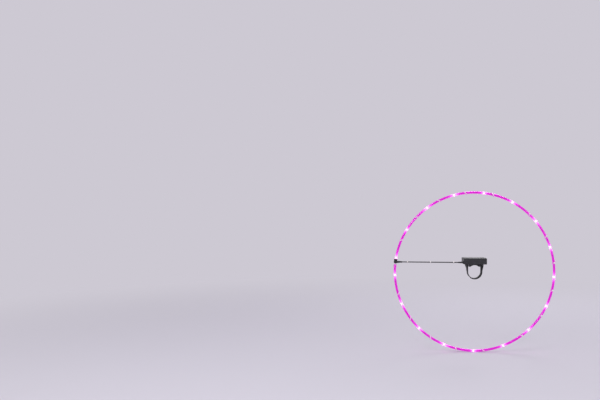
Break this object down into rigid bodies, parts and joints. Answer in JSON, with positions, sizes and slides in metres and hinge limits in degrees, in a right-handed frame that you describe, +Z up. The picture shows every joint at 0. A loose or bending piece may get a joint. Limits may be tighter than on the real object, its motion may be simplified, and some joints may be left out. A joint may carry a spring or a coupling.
{
  "type": "spoke wheel light",
  "caption": "Ring of LEDs in a clear tube, tied to bicycle spokes inside the rim and fed by a lead from an AA battery pack with a push button, strapped to the wheel hub.",
  "frame": {"origin": "middle of the hub barrel that the pack is strapped to, in the plane of the wheel", "axes": "+Y along the axle, +Z up from the hub through the battery pack, ring in the XZ plane, lead towards -X"},
  "size_m": [0.537, 0.0516, 0.5368],
  "materials": {
    "clear_pvc": "clear, lit from inside",
    "enamelled_copper": "enamelled",
    "led_ceramic": "gloss",
    "led_resin": "clear resin, lit",
    "black_pvc": "satin",
    "clear_plug": "clear",
    "natural_nylon": "natural nylon",
    "black_abs": "fine spark texture",
    "zinc_steel": "zinc plated",
    "board_green": "solder mask",
    "switch_plastic": "moulded",
    "chip_black": "moulded",
    "wire_red": "insulated wire",
    "cell_can": "wrapped can, plain colour",
    "spring_steel": "nickel plated",
    "pad_rubber": "matt",
    "strap_nylon": "woven hook and loop",
    "button_rubber": "silicone",
    "plunger_plastic": "moulded"
  },
  "bodies": {
    "light_set": {"light_tube": "clear_pvc", "string_wires": "enamelled_copper", "led_chips": "led_ceramic", "led_beads": "led_resin", "inlet_elbow": "black_pvc", "end_plug": "clear_plug", "spoke_ties": "natural_nylon", "lead_cable": "black_pvc", "lead_ties": "natural_nylon", "lead_gland": "black_pvc", "battery_case": "black_abs", "switch_deck": "black_abs", "deck_screws": "zinc_steel", "circuit_board": "board_green", "switch_body": "switch_plastic", "driver_parts": "chip_black", "lead_cores": "wire_red", "return_wire": "wire_red", "cell_1": "cell_can", "cell_2": "cell_can", "cell_3": "cell_can", "contact_springs": "spring_steel", "left_bridge": "spring_steel", "right_bridge": "spring_steel", "minus_contact": "spring_steel", "plus_contact": "spring_steel", "saddle_pad": "pad_rubber", "hub_strap": "strap_nylon"},
    "cover": {"battery_cover": "black_abs"},
    "button": {"power_button": "button_rubber", "switch_plunger": "plunger_plastic"}
  },
  "joints": [
    {"name": "cover_slide", "type": "slide", "parent": "light_set", "child": "cover", "axis": [1, 0, 0], "range_m": [0, 0.056]},
    {"name": "button_press", "type": "slide", "parent": "light_set", "child": "button", "axis": [0, 0, -1], "range_m": [0, 0.0012], "stiffness_N_per_m": 800}
  ]
}
